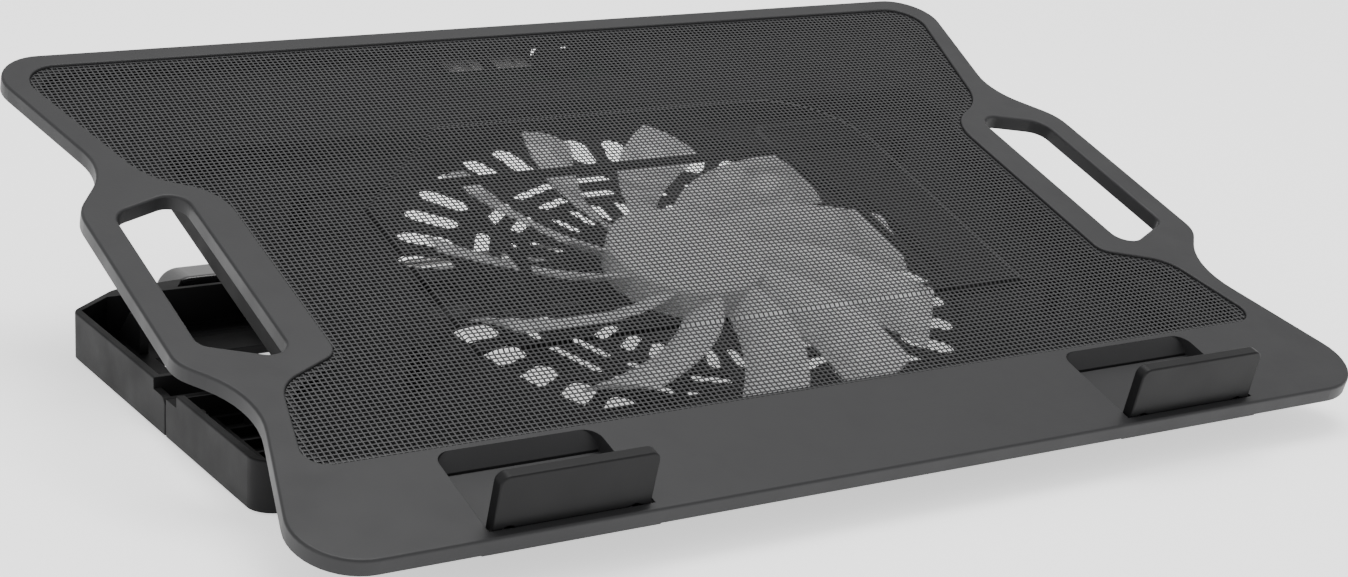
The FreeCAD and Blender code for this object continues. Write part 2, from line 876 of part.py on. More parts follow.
def pan(inset):
    """The right half of the housing's rim, drawn inwards by an inset."""
    return inset_corners(PAN, inset)


def belly(inset):
    """The right half of the deeper part's outline, drawn inwards by an inset."""
    return inset_corners(BELLY, inset)


def add_vents(body, start, end, width, count, angle="0", out="0"):
    """A ring of round-ended slots through the floor under the fan, each along its sketch's own X axis.

    The sketch is turned by an angle about the fan's axis and moved sideways, so that a slot may run
    along a radius or across one.
    """
    sketch = sketch_on(body, offset="-(duct_drop - duct_floor)", origin_y="fan_y")
    sketch.setExpression("AttachmentOffset.Rotation.Angle", bound(angle))
    round_slot(sketch, start, end, width, out)
    slot = pocket(body, sketch, "duct_floor")
    ring_of(body, slot, sketch, count)


def step_rail():
    """Side view of a rail under the tray, with steps that the prop arms stand in."""
    root = "-(belly_drop - merge)"
    profile = [("rail_front_y", root), ("rail_front_y", "-rail_drop")]
    for number in range(int(value("step_count"))):
        start = f"rail_front_y + step_lead + {number} * step_pitch"
        profile.append((start, "-rail_drop"))
        profile.append((f"{start} + step_deep", "-rail_drop + step_deep"))
        profile.append((f"{start} + step_long - step_deep", "-rail_drop + step_deep"))
        profile.append((f"{start} + step_long", "-rail_drop"))
    profile.append(("rail_rear_y", "-rail_drop"))
    profile.append(("rail_rear_y", root))
    return profile


def tray_lug(sketch):
    """Side view of a hinge lug under the tray."""
    root = "-(belly_drop - merge)"
    tip = "-(hinge_drop + lug_reach)"
    polygon(
        sketch,
        [
            ("hinge_y - lug_reach - lug_flare", root),
            ("hinge_y - lug_reach", tip),
            ("hinge_y + lug_reach", tip),
            ("hinge_y + lug_reach + lug_flare", root),
        ],
    )


def add_on_sides(body, start, width, draw):
    """Pad the same side profile outwards from start on the right, and its mirror on the left."""
    for offset in (start, f"-({start} + {width})"):
        sketch = sketch_on(body, "YZ_Plane", offset)
        draw(sketch)
        pad(body, sketch, width)


def bore_across(body, x_low, x_high, y, z, radius):
    """A round hole along X between two places, on the right and on the left."""
    for offset in (x_low, f"-({x_high})"):
        sketch = sketch_on(body, "YZ_Plane", offset)
        circle(sketch, y, z, radius)
        pocket(body, sketch, f"({x_high}) - ({x_low})", along_normal=True)


def make_bottom_housing():
    """The lower shell: rim pan, deeper belly, fan bowl with vents, electronics bay, step rails and hinge lugs."""
    body = new_body("bottom_housing")
    top = "-plate_thick"
    sketch = sketch_on(body, offset="-pan_drop")
    whole_outline(sketch, pan("0"), PAN_ROUNDS)
    pad(body, sketch, "pan_drop - plate_thick")

    sketch = sketch_on(body, offset="-belly_drop")
    whole_outline(sketch, belly("0"), BELLY_ROUNDS)
    pad(body, sketch, "belly_drop - pan_drop + merge")

    sketch = sketch_on(body, offset="-duct_drop")
    circle(sketch, "0", "fan_y", "duct_radius + shell")
    pad(body, sketch, "duct_drop - plate_thick")

    sketch = sketch_on(body, offset="-pan_drop")
    for x, y in SCREW_PLACES[:2]:
        circle(sketch, x, y, "screw_boss_radius")
        circle(sketch, f"-{x}", y, "screw_boss_radius")
    pad(body, sketch, "pan_drop - plate_thick")

    sketch = sketch_on(body, offset="-bay_drop")
    rectangle(sketch, "bay_left_x", "bay_right_x", "bay_front_y", "pan_rear_y")
    pad(body, sketch, "bay_drop - pan_drop + merge")

    sketch = sketch_on(body, offset=top)
    whole_outline(sketch, pan("shell"), PAN_INNER_ROUNDS)
    pocket(body, sketch, "pan_drop - shell - plate_thick")

    sketch = sketch_on(body, offset=top)
    whole_outline(sketch, belly("shell"), BELLY_INNER_ROUNDS)
    pocket(body, sketch, "belly_drop - shell - plate_thick")

    sketch = sketch_on(body, offset=top)
    circle(sketch, "0", "fan_y", "duct_radius")
    pocket(body, sketch, "duct_drop - duct_floor - plate_thick")

    sketch = sketch_on(body, offset=top)
    rectangle(
        sketch,
        "bay_left_x + shell",
        "bay_right_x - shell",
        "bay_front_y + shell",
        "pan_rear_y - shell",
    )
    pocket(body, sketch, "bay_drop - shell - plate_thick")

    sketch = sketch_on(body, offset="-(pan_drop - shell + merge)")
    for x, y in SCREW_PLACES[2:]:
        circle(sketch, x, y, "screw_post_radius")
        circle(sketch, f"-{x}", y, "screw_post_radius")
    pad(body, sketch, "pan_drop - shell + merge - plate_thick")

    sketch = sketch_on(body, offset=top)
    for x, y in SCREW_PLACES:
        circle(sketch, x, y, "screw_radius + screw_play")
        circle(sketch, f"-{x}", y, "screw_radius + screw_play")
    pocket(body, sketch, "pan_drop - plate_thick")

    add_vents(body, "outer_vent_start", "outer_vent_end", "outer_vent_width", "outer_vent_count")
    across = "arc_vent_angle - 90"
    for size in ("wide_arc", "narrow_arc"):
        half = f"{size}_half_long"
        add_vents(body, f"-{half}", half, "arc_vent_width", "arc_vent_count", across, f"{size}_radius")
    add_vents(body, "inner_vent_start", "inner_vent_end", "inner_vent_width", "inner_vent_count", "inner_vent_angle")

    sketch = sketch_on(body, offset="-(duct_drop - duct_floor + merge)")
    circle(sketch, "0", "fan_y", "boss_radius")
    pad(body, sketch, "boss_tall + merge")
    sketch = sketch_on(body, offset="-(duct_drop - duct_floor) + boss_tall")
    circle(sketch, "0", "fan_y", "sleeve_radius")
    pocket(body, sketch, "boss_tall - sleeve_lift")

    sketch = sketch_on(body, "XZ_Plane", "-(pan_rear_y + merge)")
    port_foot = "(bay_drop - shell - board_thick)"
    for x in ("port_left_x", "port_right_x"):
        rectangle(
            sketch,
            f"{x} - port_width / 2 - port_play",
            f"{x} + port_width / 2 + port_play",
            f"-({port_foot} + port_play)",
            f"-({port_foot} - port_height - port_play)",
        )
    rectangle(
        sketch,
        "wheel_x - wheel_slot",
        "wheel_x + wheel_slot",
        "-(wheel_drop + wheel_thick + wheel_play)",
        "-(wheel_drop - wheel_play)",
    )
    pocket(body, sketch, "shell + 2 * merge", along_normal=True)

    add_on_sides(body, "rail_inner_x", "rail_outer_x - rail_inner_x", lambda s: polygon(s, step_rail()))

    add_on_sides(body, "tray_lug_x", "tray_lug_width", tray_lug)
    lug_low = -value("hinge_drop + lug_reach")
    fillet(body, "lug_round", lambda edge: lies_at(lug_low)(edge) and edge.BoundBox.YLength < CLOSE)
    bore_across(
        body,
        "tray_lug_x - merge",
        "tray_lug_x + tray_lug_width + merge",
        "hinge_y",
        "-hinge_drop",
        "hinge_pin_radius + running_gap",
    )
    return keep(body, ON_TRAY)


# ---- fan -----------------------------------------------------------------------------------------------------


ON_FAN = ON_TRAY * moved(0, value("fan_y"), 0)

# Blade section: rise of its middle and thickness of its edges, as shares of its chord and of its thickness.
BLADE_CAMBER = 0.05
BLADE_EDGE_SHARE = 0.45
# How the sweep grows towards the hub, and where along the blade the chord is longest.
SWEEP_POWER = 1.15
CHORD_TURN = 0.55 * math.pi


def blade_section(radius, angle, chord, pitch, thick):
    """A thin cambered section across a blade, square to the radius."""
    turn = math.radians(angle)
    lean = math.radians(pitch)
    centre = vector(radius * math.cos(turn), radius * math.sin(turn), -value("blade_mid_drop"))
    along = vector(-math.sin(turn) * math.cos(lean), math.cos(turn) * math.cos(lean), math.sin(lean))
    across = vector(math.sin(turn) * math.sin(lean), -math.cos(turn) * math.sin(lean), math.cos(lean))
    camber = BLADE_CAMBER * chord

    def point(run, rise):
        return centre + along * (run * chord / 2) + across * rise

    half = thick / 2
    edge = half * BLADE_EDGE_SHARE
    upper = Part.Arc(point(-1, edge), point(0, camber + half), point(1, edge)).toShape()
    lower = Part.Arc(point(1, -edge), point(0, camber - half), point(-1, -edge)).toShape()
    front = Part.LineSegment(point(1, edge), point(1, -edge)).toShape()
    back = Part.LineSegment(point(-1, -edge), point(-1, edge)).toShape()
    return Part.Wire([upper, front, lower, back])


def blade(tip_angle):
    """One swept blade, from inside the hub's wall out to the tip circle."""
    root = value("(hub_radius + hub_bore_radius) / 2 + merge")
    tip = value("tip_radius")
    root_pitch = value("blade_root_pitch")
    tip_pitch = value("blade_tip_pitch")
    sections = []
    for share in (0.0, 0.25, 0.5, 0.75, 1.0):
        radius = root + share * (tip - root)
        angle = tip_angle + value("blade_sweep") * (1 - share) ** SWEEP_POWER
        chord = value("blade_root_chord") + value("blade_chord_gain") * math.sin(share * CHORD_TURN)
        pitch = root_pitch + share * (tip_pitch - root_pitch)
        sections.append(blade_section(radius, angle, chord, pitch, value("blade_thick")))
    return Part.makeLoft(sections, True)


def make_impeller():
    """The fan's hub cup with its ring of swept blades, in one moulding."""
    top = -value("hub_drop")
    low = -value("hub_low")
    hub = Part.makeCylinder(value("hub_radius"), top - low, vector(0, 0, low))
    hub = hub.makeFillet(value("hub_round"), [edge for edge in hub.Edges if lies_at(top)(edge)])
    count = int(value("blade_count"))
    blades = [blade(value("blade_start") + number * 360 / count) for number in range(count)]
    cup = hub.multiFuse(blades)
    cavity = Part.makeCylinder(value("hub_bore_radius"), top - low - value("hub_crown"), vector(0, 0, low))
    impeller = document.addObject("Part::Feature", "fan_impeller")
    impeller.Shape = cup.cut(cavity).removeSplitter()
    return keep(impeller, ON_FAN)


def make_motor():
    """Rotor yoke, magnet ring and shaft, and the stator, its windings, board and bearing sleeve."""
    low = -value("hub_low")
    tall = "hub_low - hub_drop - hub_crown"
    inner = "yoke_radius - yoke_thick"
    cup = cut(
        "yoke_cup",
        bore("yoke_body", "yoke_radius", tall, moved(0, 0, low)),
        bore("yoke_space", inner, f"{tall} - yoke_thick", moved(0, 0, low)),
    )
    keep(cut("rotor_yoke", cup, bore("yoke_hole", "shaft_radius", "hub_low", moved(0, 0, low))), ON_FAN)
    magnet_place = moved(0, 0, -value("magnet_drop"))
    keep(tube("rotor_magnet", inner, f"{inner} - magnet_thick", "magnet_tall", magnet_place), ON_FAN)
    keep(bore("rotor_shaft", "shaft_radius", "shaft_long", moved()), ON_FAN * moved(0, 0, -value("shaft_drop")))
    sleeve_place = moved(0, 0, value("sleeve_lift - duct_drop + duct_floor"))
    keep(tube("bearing_sleeve", "sleeve_radius", "shaft_radius + running_gap", "sleeve_long", sleeve_place), ON_FAN)

    body = new_body("stator_core")
    sketch = sketch_on(body, offset="-stator_drop")
    circle(sketch, "0", "0", "stator_core_radius")
    circle(sketch, "0", "0", "boss_radius + fit_gap")
    pad(body, sketch, "stator_tall")
    sketch = sketch_on(body, offset="-stator_drop")
    rectangle(
        sketch, "stator_core_radius - merge", "stator_radius - 2 * merge", "-tooth_half_width", "tooth_half_width"
    )
    tooth = pad(body, sketch, "stator_tall")
    ring_of(body, tooth, sketch, "tooth_count")
    sketch = sketch_on(body, offset="-stator_drop")
    rectangle(
        sketch, "stator_radius - 4 * merge", "stator_radius - merge", "-shoe_half_width", "shoe_half_width"
    )
    shoe = pad(body, sketch, "stator_tall")
    ring_of(body, shoe, sketch, "tooth_count")
    keep(body, ON_FAN)

    windings = document.addObject("Part::Feature", "stator_windings")
    windings.Shape = Part.makeCompound([coil(number) for number in range(int(value("tooth_count")))])
    keep(windings, ON_FAN)
    board_place = moved(0, 0, -value("motor_board_drop"))
    inner = "boss_radius + screw_play"
    keep(tube("motor_board", "motor_board_radius", inner, "motor_board_thick", board_place), ON_FAN)


def coil(number):
    """The coil round one tooth of the stator."""
    long, wide, tall = value("coil_long"), value("coil_width"), value("coil_tall")
    wire = value("coil_wire")
    low = value("stator_tall / 2 - stator_drop") - tall / 2
    start = value("coil_start")
    outside = Part.makeBox(long, wide, tall, vector(start, -wide / 2, low))
    inner_wide = wide - 2 * wire - 2 * value("fit_gap")
    space = Part.makeBox(long, inner_wide, tall - 2 * wire, vector(start, -inner_wide / 2, low + wire))
    turns = outside.cut(space)
    turns.rotate(vector(), vector(0, 0, 1), number * 360 / value("tooth_count"))
    return turns


# ---- electronics bay -----------------------------------------------------------------------------------------


def make_electronics():
    """The hub board, its two ports, the speed control and its thumb wheel."""
    floor = -value("bay_drop - shell")
    board_top = floor + value("board_thick")
    left = value("bay_left_x + shell + merge")
    front = value("bay_front_y + shell + merge")
    long = "bay_right_x - bay_left_x - 2 * shell - 2 * merge"
    wide = "pan_rear_y - bay_front_y - 2 * shell - merge - port_inset"
    keep(block("hub_board", long, wide, "board_thick", moved()), ON_TRAY * moved(left, front, floor))

    for side in ("left", "right"):
        name = f"usb_port_{side}"
        x = value(f"port_{side}_x - port_width / 2")
        shell = block(f"{name}_shell", "port_width", "port_long", "port_height", moved())
        space = block(
            f"{name}_space",
            "port_width - 2 * port_wall",
            "port_long - port_back",
            "port_height - 2 * port_wall",
            moved(value("port_wall"), value("port_back"), value("port_wall")),
        )
        tongue_back = value("port_back - fit_gap")
        tongue = block(
            f"{name}_tongue",
            "port_width - 2 * tongue_side",
            "port_long - 2 * port_back",
            "tongue_thick",
            moved(value("tongue_side"), tongue_back, value("port_height / 2")),
        )
        hollow = cut(f"{name}_hollow", shell, space)
        place = ON_TRAY * moved(x, value("pan_rear_y - port_inset - port_long"), board_top)
        keep(fuse(name, [hollow, tongue]), place)

    wheel_low = -value("wheel_drop + wheel_thick")
    half = value("control_size / 2")
    control_tall = "bay_drop - shell - board_thick - wheel_drop - wheel_thick - control_gap"
    control = block("control_case", "control_size", "control_size", control_tall, moved(-half, -half, 0))
    socket = bore("control_socket", "shaft_radius + running_gap", control_tall, moved(0, 0, value("control_gap")))
    centre = ON_TRAY * moved(value("wheel_x"), value("wheel_y"), 0)
    keep(cut("speed_control", control, socket), centre * moved(0, 0, board_top))

    body = new_body("speed_wheel")
    sketch = sketch_on(body)
    circle(sketch, "0", "0", "wheel_radius")
    pad(body, sketch, "wheel_thick")
    sketch = sketch_on(body)
    half_notch = "wheel_notch_width / 2"
    rectangle(sketch, "wheel_radius - merge", "wheel_radius + merge", f"-{half_notch}", half_notch)
    notch = pocket(body, sketch, "wheel_thick", along_normal=True)
    ring_of(body, notch, sketch, "wheel_notch_count")
    sketch = sketch_on(body, offset="-wheel_stub")
    circle(sketch, "0", "0", "shaft_radius")
    pad(body, sketch, "wheel_stub + merge")
    keep(body, centre * moved(0, 0, wheel_low))


def make_fan_lead():
    """The motor's lead, along the housing's floor from the fan bowl back to the bay."""
    radius = value("lead_radius")
    floor = -value("belly_drop - shell") + radius
    bend = value("lead_bend")
    start = vector(value("lead_start_x"), value("lead_start_y"), floor)
    corner = vector(value("lead_start_x"), value("lead_turn_y"), floor)
    end = vector(value("lead_end_x"), value("lead_turn_y"), floor)
    arc_start = corner - vector(0, bend, 0)
    arc_end = corner + vector(bend, 0, 0)
    middle = corner + vector(bend, -bend, 0) + vector(-bend, bend, 0) * math.sqrt(0.5)
    path = Part.Wire(
        [
            Part.LineSegment(start, arc_start).toShape(),
            Part.Arc(arc_start, middle, arc_end).toShape(),
            Part.LineSegment(arc_end, end).toShape(),
        ]
    )
    ring = Part.Wire([Part.Circle(start, vector(0, 1, 0), radius).toShape()])
    lead = document.addObject("Part::Feature", "fan_lead")
    lead.Shape = path.makePipeShell([ring], True, True)
    return keep(lead, ON_TRAY)


# ---- flaps ---------------------------------------------------------------------------------------------------


def make_flap(side, sign):
    """A stop flap that folds down into its pocket, drawn lying flat about its pin."""
    body = new_body(f"flap_{side}")
    low = "-flap_thick / 2"
    sketch = sketch_on(body, offset=low)
    rectangle(sketch, "-flap_width / 2", "flap_width / 2", low, "flap_reach")
    pad(body, sketch, "flap_thick")
    round_uprights(body, "flap_corner", [("flap_width / 2", "flap_reach")])
    heel = value(low)
    fillet(body, "flap_heel_round", lambda edge: edge.BoundBox.YMax < heel + CLOSE and edge.BoundBox.ZLength < CLOSE)
    top = -heel
    reach = value("flap_reach")

    def face_edge(edge):
        flat = lies_at(top)(edge) or lies_at(-top)(edge)
        return flat and heel + value("flap_thick / 2") < edge.BoundBox.YMax < reach + CLOSE

    fillet(body, "flap_edge_round", face_edge)
    sketch = sketch_on(body, offset="flap_thick / 2")
    for direction in ("", "-"):
        circle(sketch, f"{direction}(flap_width / 2 - flap_hole_x)", "flap_hole_y", "flap_hole_radius")
    pocket(body, sketch, "flap_hole_deep")
    sketch = sketch_on(body, "YZ_Plane", "-flap_width / 2 - merge")
    circle(sketch, "0", "0", "flap_pin_radius + running_gap")
    pocket(body, sketch, "flap_width + 2 * merge", along_normal=True)
    middle = sign * value("(pocket_inner_x + pocket_outer_x) / 2")
    pin = ON_TRAY * moved(middle, value("flap_pin_y"), -value("flap_pin_drop"))
    keep(body, pin * turned(value("flap_lean")))

    long = "pocket_outer_x - pocket_inner_x + 2 * pin_seat"
    place = pin * moved(-value(long) / 2) * ALONG_X
    keep(bore(f"flap_pin_{side}", "flap_pin_radius", long, moved()), place)


# ---- base ----------------------------------------------------------------------------------------------------


RIM = "base_lift + base_height"
INSIDE = "base_half_width - base_wall"


def base_lug(sketch):
    """Side view of a hinge lug that stands on the base's floor, against its front wall."""
    front = "base_front_y + base_wall - merge"
    foot = "base_lift + base_floor"
    top = f"{HINGE_BASE_Z} + lug_reach - control_gap"
    polygon(
        sketch,
        [
            (front, foot),
            (f"{HINGE_BASE_Y} + lug_reach + 2 * lug_flare", foot),
            (f"{HINGE_BASE_Y} + lug_reach", top),
            (front, top),
        ],
    )


def cut_rim_notch(body, inner_x, seam, past_seam, end, radius):
    """A shallow notch in the rim on both sides, whose floor curves down into the seam."""
    floor = f"{RIM} - rim_notch_deep"
    low = f"{floor} - {radius} - 2 * merge"
    above = f"{RIM} + 2 * merge"
    corners = [(past_seam, above), (past_seam, low), (seam, low), (seam, floor), (end, floor), (end, above)]
    sharp = value("merge / 4")
    radii = [sharp, sharp, sharp, value(radius), sharp, sharp]
    for offset in (inner_x, "-(base_half_width + merge)"):
        sketch = sketch_on(body, "YZ_Plane", offset)
        rounded_polygon(sketch, corners, radii)
        pocket(body, sketch, f"base_half_width + merge - ({inner_x})", along_normal=True)


def join_holes(body, offset):
    """Holes for the screws that join the two halves of the base."""
    sketch = sketch_on(body, "XZ_Plane", offset)
    for direction in ("", "-"):
        circle(sketch, f"{direction}foot_x", "base_lift + join_screw_height", "screw_radius + screw_play")
    pocket(body, sketch, "2 * seam_wall + merge", along_normal=True)


def make_base_front():
    """The front half of the base: a low tray with cells in its floor, open in the middle, with the hinge lugs."""
    body = new_body("base_front")
    rear = "seam_y - seam_gap"
    sketch = sketch_on(body, offset="base_lift")
    rectangle(sketch, "-base_half_width", "base_half_width", "base_front_y", rear)
    pad(body, sketch, "base_height")
    round_uprights(body, "base_front_round", [("base_half_width", "base_front_y")])
    round_uprights(body, "seam_round", [("base_half_width", rear)])

    inner_front = "base_front_y + base_wall"
    sketch = sketch_on(body, offset=RIM)
    rectangle(sketch, f"-({INSIDE})", INSIDE, inner_front, f"{rear} - seam_wall")
    pocket(body, sketch, "base_height - cell_floor")
    round_uprights(body, "base_front_round - base_wall", [(INSIDE, inner_front)], value("base_lift + base_floor"))

    sketch = sketch_on(body, offset=RIM)
    rectangle(sketch, "-front_window_x", "front_window_x", "front_window_y", "seam_y + merge")
    pocket(body, sketch, "base_height")

    cell_top = "base_lift + cell_floor"
    cell_deep = "cell_floor - base_floor"
    sketch = sketch_on(body, offset=cell_top)
    for column in range(3):
        x = f"front_window_x + side_cell_start + {column} * (side_cell_wide + cell_gap)"
        for row_number in range(4):
            y = f"front_window_y + 2 * merge + {row_number} * (side_cell_long + cell_gap)"
            both_sides(sketch, x, f"{x} + side_cell_wide", y, f"{y} + side_cell_long")
    pocket(body, sketch, cell_deep)

    sketch = sketch_on(body, offset=cell_top)
    for column in range(-5, 6):
        middle = f"{column} * front_cell_pitch"
        rectangle(
            sketch,
            f"{middle} - front_cell_wide / 2",
            f"{middle} + front_cell_wide / 2",
            f"{inner_front} + seam_wall",
            "front_window_y - seam_wall",
        )
    pocket(body, sketch, cell_deep)
    cut_rim_notch(
        body, "front_window_x", rear, f"{rear} + merge", "rim_notch_front_y", "rim_notch_front_round"
    )

    for start in ("base_lug_inner_x", "base_lug_outer_x"):
        add_on_sides(body, start, "tray_lug_width", base_lug)
    sketch = sketch_on(body, offset=RIM)
    both_sides(
        sketch,
        "tray_lug_x - merge",
        "tray_lug_x + tray_lug_width + merge",
        "base_front_y - merge",
        "base_front_y + base_wall + 2 * lug_reach",
    )
    pocket(body, sketch, "base_height - base_floor - cell_floor")
    bore_across(
        body,
        "base_lug_inner_x - merge",
        "base_lug_outer_x + tray_lug_width + merge",
        HINGE_BASE_Y,
        HINGE_BASE_Z,
        "hinge_pin_radius + running_gap",
    )
    join_holes(body, f"-({rear} + merge)")
    rim_height = value(RIM)
    side = value("base_half_width")
    front = value("base_front_y")

    def outer_rim(edge):
        box = edge.BoundBox
        return lies_at(rim_height)(edge) and (abs(box.Center.x) > side - CLOSE or abs(box.YMin - front) < CLOSE)

    fillet(body, "rim_round", outer_rim)
    return keep(body, ON_BASE)


BASE_REAR_HALF = [
    ("base_half_width", "seam_y + seam_gap"),
    ("base_half_width", "base_shoulder_y"),
    ("base_corner_x", "base_corner_y"),
    ("base_back_x", "base_back_y"),
]


def gusset(sketch):
    """Side view of the slanted web that stiffens a rear corner of the base."""
    foot = "base_lift + crossbar_height - merge"
    top = "base_lift + gusset_height"
    polygon(
        sketch,
        [
            ("gusset_front_y", foot),
            ("gusset_rear_y", foot),
            ("gusset_top_y", top),
            ("gusset_front_y", top),
        ],
    )


def prop_bearing(sketch):
    """Side view of a bearing block beside a prop arm."""
    low = "base_lift + base_floor - merge"
    rectangle(sketch, "prop_y - bearing_reach", "prop_y + bearing_reach", low, "prop_height + bearing_rise")


def make_base_rear():
    """The rear half of the base: side walls, cross members, cross wall, corner webs and the prop's bearings."""
    body = new_body("base_rear")
    front = "seam_y + seam_gap"
    sketch = sketch_on(body, offset="base_lift")
    polygon(sketch, whole(BASE_REAR_HALF))
    pad(body, sketch, "base_height")
    round_uprights(body, "base_shoulder_round", [("base_half_width", "base_shoulder_y")])
    round_uprights(body, "base_corner_round", [("base_corner_x", "base_corner_y")])
    round_uprights(body, "seam_round", [("base_half_width", front)])

    sketch = sketch_on(body, offset=RIM)
    hollow = [
        (INSIDE, "rim_notch_rear_y + seam_wall"),
        (INSIDE, "base_shoulder_y - base_wall / 2"),
        ("hollow_rear_x", "cross_wall_y"),
    ]
    polygon(sketch, whole(hollow))
    rectangle(sketch, f"-({INSIDE})", INSIDE, f"{front} + seam_wall", "rim_notch_rear_y")
    pocket(body, sketch, "base_height - crossbar_height")

    sketch = sketch_on(body, offset=RIM)
    slot_end = "base_back_x - base_wall"
    polygon(
        sketch,
        whole([(slot_end, "cross_wall_y + seam_wall"), (f"{slot_end} - slot_slant", "base_back_y + merge")]),
    )
    pocket(body, sketch, "base_height - base_floor")

    sketch = sketch_on(body, offset=RIM)
    rectangle(sketch, "-bar_dip_x", "bar_dip_x", "cross_wall_y - merge", "cross_wall_y + seam_wall + merge")
    pocket(body, sketch, "cross_wall_dip")

    floor_top = "base_lift + crossbar_height"
    sketch = sketch_on(body, offset=floor_top)
    rectangle(sketch, "-rear_window_x", "rear_window_x", f"{front} - merge", "crossbar_front_y")
    rectangle(sketch, "-rear_window_x", "rear_window_x", "crossbar_rear_y", "strip_y")
    pocket(body, sketch, "crossbar_height")

    sketch = sketch_on(body, offset=floor_top)
    recess_x = "rear_window_x + lug_reach"
    rectangle(sketch, f"-({recess_x})", recess_x, "strip_y + seam_wall", "cross_wall_y - merge")
    pocket(body, sketch, "crossbar_height - base_floor")

    sketch = sketch_on(body, offset=RIM)
    wall_end = "rim_notch_rear_y + seam_wall + merge"
    rectangle(sketch, "-rear_window_x", "rear_window_x", f"{front} - merge", wall_end)
    pocket(body, sketch, "base_height")
    cut_rim_notch(
        body, "rear_window_x", front, f"{front} - merge", "rim_notch_rear_y", "rim_notch_rear_round"
    )

    add_on_sides(body, "gusset_x", "gusset_thick", gusset)
    add_on_sides(body, "prop_outer_x + bearing_gap", "bearing_width", prop_bearing)
    add_on_sides(body, "prop_inner_x - bearing_gap - bearing_width", "bearing_width", prop_bearing)
    bore_across(
        body,
        "prop_inner_x - bearing_gap - bearing_width - merge",
        "prop_outer_x + bearing_gap + bearing_width + merge",
        "prop_y",
        "prop_height",
        "hinge_pin_radius + running_gap",
    )
    join_holes(body, f"-({front} + seam_wall + merge)")

    rim_height = value(RIM)
    side = value("base_half_width")
    fillet(body, "rim_round", lambda edge: lies_at(rim_height)(edge) and abs(edge.BoundBox.Center.x) > side - CLOSE)
    return keep(body, ON_BASE)


def make_rear_bar():
    """The smooth bar along the back of the base, low in the middle, hollow underneath."""
    body = new_body("rear_bar")
    low = "base_lift"
    high = "base_lift + base_height"
    sketch = sketch_on(body, "XZ_Plane", "-bar_rear_y")
    polygon(
        sketch,
        whole(
            [
                ("bar_half_width", low),
                ("bar_half_width - bar_end_run", high),
                ("bar_dip_x + bar_dip_run", high),
                ("bar_dip_x", "base_lift + bar_dip_height"),
            ]
        ),
    )
    pad(body, sketch, "bar_rear_y - base_back_y")
    top = value(high)
    end = value("bar_half_width - bar_end_run")
    fillet(
        body,
        "bar_end_round",
        lambda edge: lies_at(top)(edge) and abs(abs(edge.BoundBox.Center.x) - end) < CLOSE,
    )
    for place, radius in (("bar_rear_y", "bar_rear_round"), ("base_back_y", "bar_front_round")):
        y = value(place)
        fillet(body, radius, lambda edge: lies_at(top)(edge) and abs(edge.BoundBox.Center.y - y) < CLOSE)
    sketch = sketch_on(body, offset=low)
    both_sides(
        sketch,
        "bar_dip_x + bar_dip_run - bar_wall",
        "bar_half_width - bar_end_run - bar_end_round",
        "base_back_y + bar_wall",
        "bar_rear_y - bar_wall",
    )
    pocket(body, sketch, "base_height - bar_roof", along_normal=True)
    return keep(body, ON_BASE)


def make_hinge_pins():
    """The pins that the tray tilts on and the pins that the prop arms turn on."""
    pins = [
        ("tilt_pin", "base_lug_inner_x", "base_lug_outer_x + tray_lug_width", HINGE_BASE_Y, HINGE_BASE_Z),
        (
            "prop_pin",
            "prop_inner_x - bearing_gap - bearing_width",
            "prop_outer_x + bearing_gap + bearing_width",
            "prop_y",
            "prop_height",
        ),
    ]
    for name, inner, outer, y, z in pins:
        long = f"({outer}) - ({inner})"
        for side, start in (("left", f"-({outer})"), ("right", inner)):
            place = ON_BASE * moved(value(start), value(y), value(z)) * ALONG_X
            keep(bore(f"{name}_{side}", "hinge_pin_radius", long, moved()), place)


def make_props():
    """Two prop arms and the brace between them, drawn lying flat about their pivot."""
    pivot = ON_BASE * moved(0, value("prop_y"), value("prop_height")) * turned(180 - value("prop_angle"))
    half = "prop_thick / 2"
    for side, sign in (("left", -1), ("right", 1)):
        body = new_body(f"prop_arm_{side}")
        low, high = ("prop_inner_x", "prop_outer_x") if sign > 0 else ("-prop_outer_x", "-prop_inner_x")
        sketch = sketch_on(body, "YZ_Plane", low)
        rectangle(sketch, "-prop_heel", f"prop_long + {half}", f"-{half}", half)
        pad(body, sketch, "prop_outer_x - prop_inner_x")
        ends = (value(f"prop_long + {half}"), -value("prop_heel"))
        width = value("prop_outer_x - prop_inner_x")

        def end_edge(edge):
            box = edge.BoundBox
            runs_across = box.XLength > width - CLOSE and box.YLength < CLOSE
            return runs_across and any(abs(box.Center.y - end) < CLOSE for end in ends)

        fillet(body, "prop_round", end_edge)
        sketch = sketch_on(body, offset=half)
        x_low, x_high = f"{low} + prop_border", f"{high} - prop_border"
        rectangle(sketch, x_low, x_high, "2 * prop_heel", "prop_brace_y - prop_rib")
        rectangle(sketch, x_low, x_high, "prop_brace_y + prop_rib", "prop_long - 2 * prop_heel")
        pocket(body, sketch, "prop_thick - prop_web")
        sketch = sketch_on(body, "YZ_Plane", f"{low} - merge")
        circle(sketch, "0", "0", "hinge_pin_radius + running_gap")
        pocket(body, sketch, "prop_outer_x - prop_inner_x + 2 * merge", along_normal=True)
        brace_start = f"{low} - merge" if sign > 0 else f"{high} - prop_brace_seat"
        sketch = sketch_on(body, "YZ_Plane", brace_start)
        circle(sketch, "prop_brace_y", "0", "prop_brace_radius + fit_gap")
        pocket(body, sketch, "prop_brace_seat + merge", along_normal=True)
        keep(body, pivot)
    reach = "(prop_inner_x + prop_brace_seat - 2 * fit_gap - merge)"
    brace = bore("prop_brace", "prop_brace_radius", f"2 * {reach}", moved())
    keep(brace, pivot * moved(-value(reach), value("prop_brace_y"), 0) * ALONG_X)


